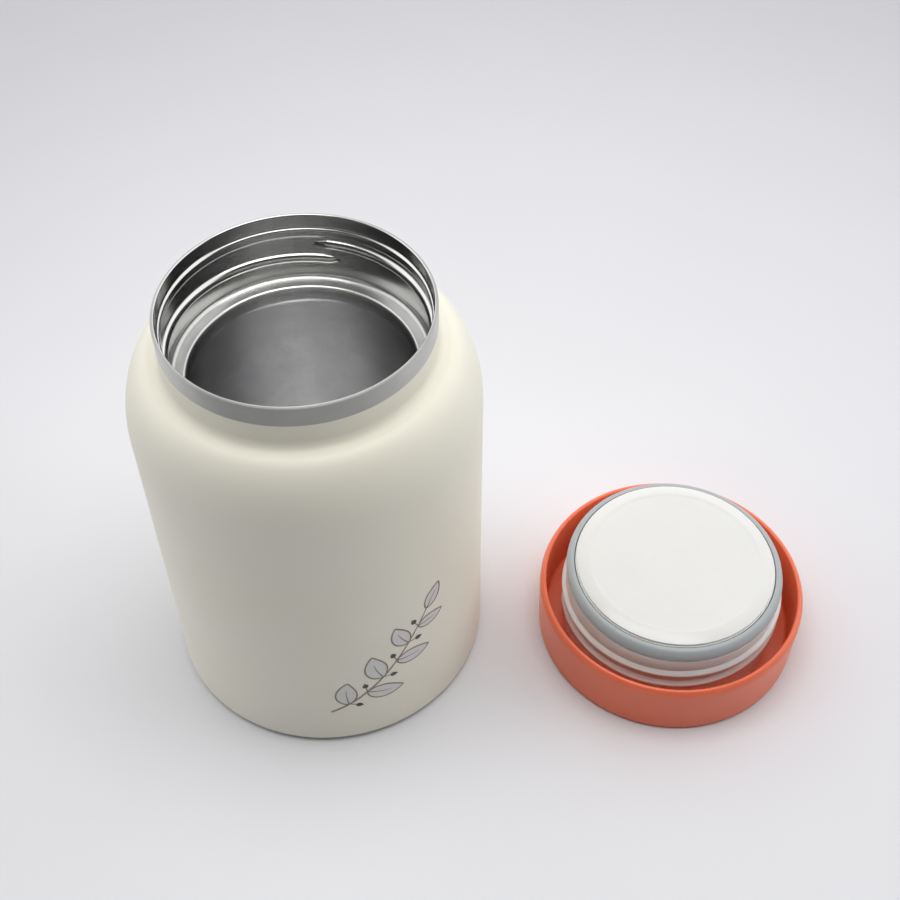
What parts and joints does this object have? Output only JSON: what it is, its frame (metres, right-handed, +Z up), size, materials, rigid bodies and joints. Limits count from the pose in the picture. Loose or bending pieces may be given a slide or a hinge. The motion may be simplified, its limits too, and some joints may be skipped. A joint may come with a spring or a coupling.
{
  "type": "insulated food jar",
  "caption": "Double-walled steel vacuum food jar with a wide mouth, open, with its screw lid laid upside down beside it.",
  "frame": {"origin": "centre of the ring that the jar stands on, in the plane of the table", "axes": "+Z up along the jar's axis, +X from the jar to the lid beside it, front of the jar towards -Y"},
  "size_m": [0.1948, 0.095, 0.134],
  "materials": {
    "shell_paint": "smooth satin powder coat over steel, cream",
    "liner_steel": "spun stainless steel, satin",
    "foil": "thin bright foil",
    "base_steel": "pressed stainless steel, satin",
    "getter_metal": "sintered getter alloy, dull grey",
    "seal_glass": "melted solder glass, dark",
    "cover_plastic": "moulded polypropylene, coral red, soft gloss",
    "plug_plastic": "moulded polypropylene, natural and slightly clear",
    "disc_plastic": "moulded polypropylene, white, glossy",
    "foam": "white expanded polystyrene beads",
    "gasket_silicone": "moulded silicone, grey, matt"
  },
  "bodies": {
    "jar": {"outer_shell": "shell_paint", "inner_liner": "liner_steel", "liner_base": "liner_steel", "heat_shield": "foil", "vacuum_base": "base_steel", "getter": "getter_metal", "getter_clip": "base_steel", "seal_bead": "seal_glass", "base_cover": "base_steel"},
    "lid": {"lid_cover": "cover_plastic", "plug_shell": "plug_plastic", "plug_disc": "disc_plastic", "plug_foam": "foam"},
    "seal": {"lid_gasket": "gasket_silicone"}
  },
  "joints": [
    {"name": "lid_lift", "type": "slide", "parent": "jar", "child": "lid", "axis": [0, 0, 1], "range_m": [0, 0.16]},
    {"name": "seal_pull", "type": "slide", "parent": "lid", "child": "seal", "axis": [0, 0, 1], "range_m": [0, 0.03]}
  ]
}
